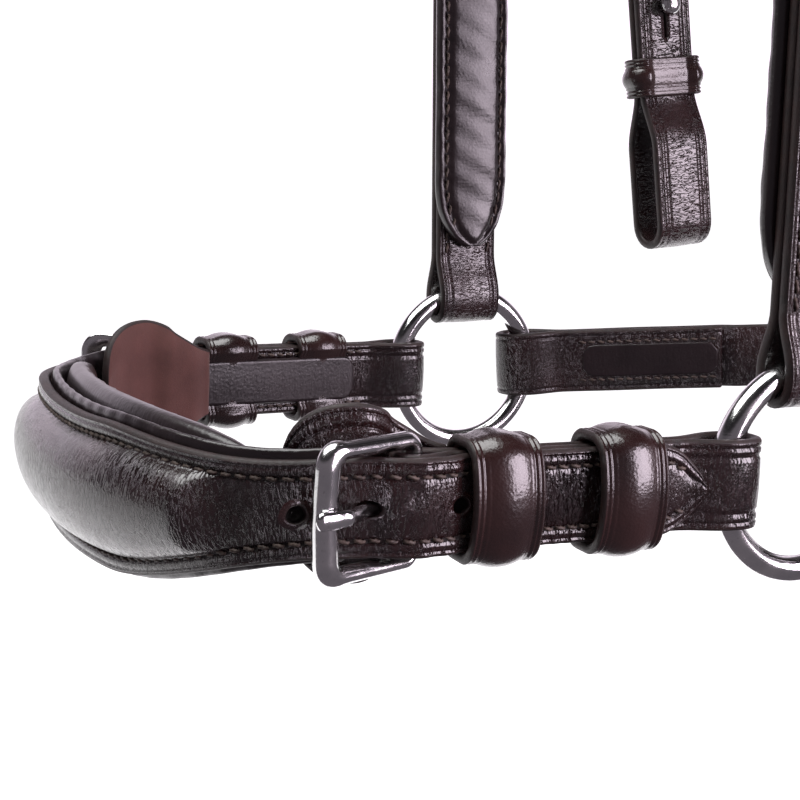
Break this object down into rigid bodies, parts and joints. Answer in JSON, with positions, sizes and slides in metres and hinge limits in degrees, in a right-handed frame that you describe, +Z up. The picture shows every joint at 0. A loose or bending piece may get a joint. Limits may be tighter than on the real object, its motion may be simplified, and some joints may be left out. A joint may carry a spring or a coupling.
{
  "type": "leather headcollar",
  "caption": "Dark brown leather headcollar hanging open, with a raised padded noseband, steel rings and buckles, sliding keepers, a chin strap, and hook stud straps that carry a bit.",
  "frame": {"origin": "middle of the underside of the crown's lining, where the poll or a hook holds the headcollar up", "axes": "+X from the nose back toward the throat, +Y to the horse's right, +Z up to the poll"},
  "size_m": [0.2744, 0.197, 0.4966],
  "materials": {
    "bridle_leather": "waxed satin",
    "keeper_leather": "waxed satin",
    "padded_leather": "soft, grained",
    "flesh_leather": "matt flesh side",
    "core_felt": "pressed felt",
    "polished_steel": "polished",
    "waxed_thread": "waxed, twisted"
  },
  "bodies": {
    "headpiece": {"crownpiece": "bridle_leather", "crown_lining": "padded_leather", "throat_strap": "bridle_leather", "right_cheekpiece": "bridle_leather", "right_cheek_lining": "padded_leather", "right_cheek_buckle": "polished_steel", "right_cheek_keeper": "keeper_leather", "right_bit_strap": "bridle_leather", "right_hook_stud": "polished_steel", "right_bit_buckle": "polished_steel", "right_bit_top_keeper": "keeper_leather", "right_throat_buckle": "polished_steel", "right_throat_keeper": "keeper_leather", "left_cheekpiece": "bridle_leather", "left_cheek_lining": "padded_leather", "left_cheek_buckle": "polished_steel", "left_cheek_keeper": "keeper_leather", "left_bit_strap": "bridle_leather", "left_hook_stud": "polished_steel", "left_bit_buckle": "polished_steel", "left_bit_top_keeper": "keeper_leather", "left_throat_buckle": "polished_steel", "left_throat_keeper": "keeper_leather"},
    "noseband": {"noseband_leather": "bridle_leather", "noseband_core": "core_felt", "noseband_lining": "padded_leather", "noseband_pad": "padded_leather", "right_side_strap": "bridle_leather", "right_buckle_guard": "flesh_leather", "right_nose_buckle": "polished_steel", "right_fixed_keeper": "keeper_leather", "left_side_strap": "bridle_leather", "left_buckle_guard": "flesh_leather", "left_nose_buckle": "polished_steel", "left_fixed_keeper": "keeper_leather"},
    "chin_strap": {"chin_strap": "bridle_leather", "lead_ring_tab": "bridle_leather"},
    "lead_ring": {"lead_ring": "polished_steel"},
    "right_ring": {"right_ring": "polished_steel"},
    "right_runner_keeper": {"right_runner_keeper": "keeper_leather"},
    "right_bit_keeper": {"right_bit_keeper": "keeper_leather"},
    "right_nose_tongue": {"right_nose_tongue": "polished_steel"},
    "right_cheek_tongue": {"right_cheek_tongue": "polished_steel"},
    "right_bit_tongue": {"right_bit_tongue": "polished_steel"},
    "right_throat_tongue": {"right_throat_tongue": "polished_steel"},
    "left_ring": {"left_ring": "polished_steel"},
    "left_runner_keeper": {"left_runner_keeper": "keeper_leather"},
    "left_bit_keeper": {"left_bit_keeper": "keeper_leather"},
    "left_nose_tongue": {"left_nose_tongue": "polished_steel"},
    "left_cheek_tongue": {"left_cheek_tongue": "polished_steel"},
    "left_bit_tongue": {"left_bit_tongue": "polished_steel"},
    "left_throat_tongue": {"left_throat_tongue": "polished_steel"}
  },
  "joints": [
    {"name": "right_ring_spin", "type": "hinge", "parent": "headpiece", "child": "right_ring", "pos_m": [-0.032, 0.0797, -0.4255], "axis": [0, 1, 0], "continuous": true},
    {"name": "left_ring_spin", "type": "hinge", "parent": "headpiece", "child": "left_ring", "pos_m": [-0.032, -0.0797, -0.4255], "axis": [0, 1, 0], "continuous": true},
    {"name": "noseband_tilt", "type": "hinge", "parent": "headpiece", "child": "noseband", "pos_m": [-0.032, 0, -0.4255], "axis": [0, 1, 0], "range_deg": [-20, 20]},
    {"name": "chin_strap_tilt", "type": "hinge", "parent": "headpiece", "child": "chin_strap", "pos_m": [-0.032, 0, -0.4255], "axis": [0, 1, 0], "range_deg": [-12, 20]},
    {"name": "lead_ring_swing", "type": "hinge", "parent": "chin_strap", "child": "lead_ring", "pos_m": [0.08, 0, -0.4401], "axis": [0, 1, 0], "range_deg": [-70, 70]},
    {"name": "right_runner_keeper_slide", "type": "slide", "parent": "noseband", "child": "right_runner_keeper", "axis": [-0.9974, -0.0531, 0.0479], "range_m": [-0.004, 0.01]},
    {"name": "right_bit_keeper_slide", "type": "slide", "parent": "headpiece", "child": "right_bit_keeper", "axis": [-0.058, 0.068, 0.996], "range_m": [0, 0.01]},
    {"name": "right_nose_tongue_lift", "type": "hinge", "parent": "noseband", "child": "right_nose_tongue", "pos_m": [-0.12881, 0.07577, -0.42195], "axis": [-0.048, 0, -0.9988], "range_deg": [0, 6]},
    {"name": "right_cheek_tongue_lift", "type": "hinge", "parent": "headpiece", "child": "right_cheek_tongue", "pos_m": [-0.02718, 0.08384, -0.16459], "axis": [-0.9998, 0, 0.0202], "range_deg": [0, 6]},
    {"name": "right_bit_tongue_lift", "type": "hinge", "parent": "headpiece", "child": "right_bit_tongue", "pos_m": [0.02445, 0.0798, -0.1654], "axis": [-0.9983, 0, -0.0581], "range_deg": [0, 6]},
    {"name": "right_throat_tongue_lift", "type": "hinge", "parent": "headpiece", "child": "right_throat_tongue", "pos_m": [0.05397, 0.0833, -0.15442], "axis": [-0.9892, 0, -0.1468], "range_deg": [0, 6]},
    {"name": "left_runner_keeper_slide", "type": "slide", "parent": "noseband", "child": "left_runner_keeper", "axis": [-0.9974, 0.0531, 0.0479], "range_m": [-0.004, 0.01]},
    {"name": "left_bit_keeper_slide", "type": "slide", "parent": "headpiece", "child": "left_bit_keeper", "axis": [-0.058, -0.068, 0.996], "range_m": [0, 0.01]},
    {"name": "left_nose_tongue_lift", "type": "hinge", "parent": "noseband", "child": "left_nose_tongue", "pos_m": [-0.12881, -0.07577, -0.42195], "axis": [0.048, 0, 0.9988], "range_deg": [0, 6]},
    {"name": "left_cheek_tongue_lift", "type": "hinge", "parent": "headpiece", "child": "left_cheek_tongue", "pos_m": [-0.02718, -0.08384, -0.16459], "axis": [0.9998, 0, -0.0202], "range_deg": [0, 6]},
    {"name": "left_bit_tongue_lift", "type": "hinge", "parent": "headpiece", "child": "left_bit_tongue", "pos_m": [0.02445, -0.0798, -0.1654], "axis": [0.9983, 0, 0.0581], "range_deg": [0, 6]},
    {"name": "left_throat_tongue_lift", "type": "hinge", "parent": "headpiece", "child": "left_throat_tongue", "pos_m": [0.05397, -0.0833, -0.15442], "axis": [0.9892, 0, 0.1468], "range_deg": [0, 6]}
  ]
}
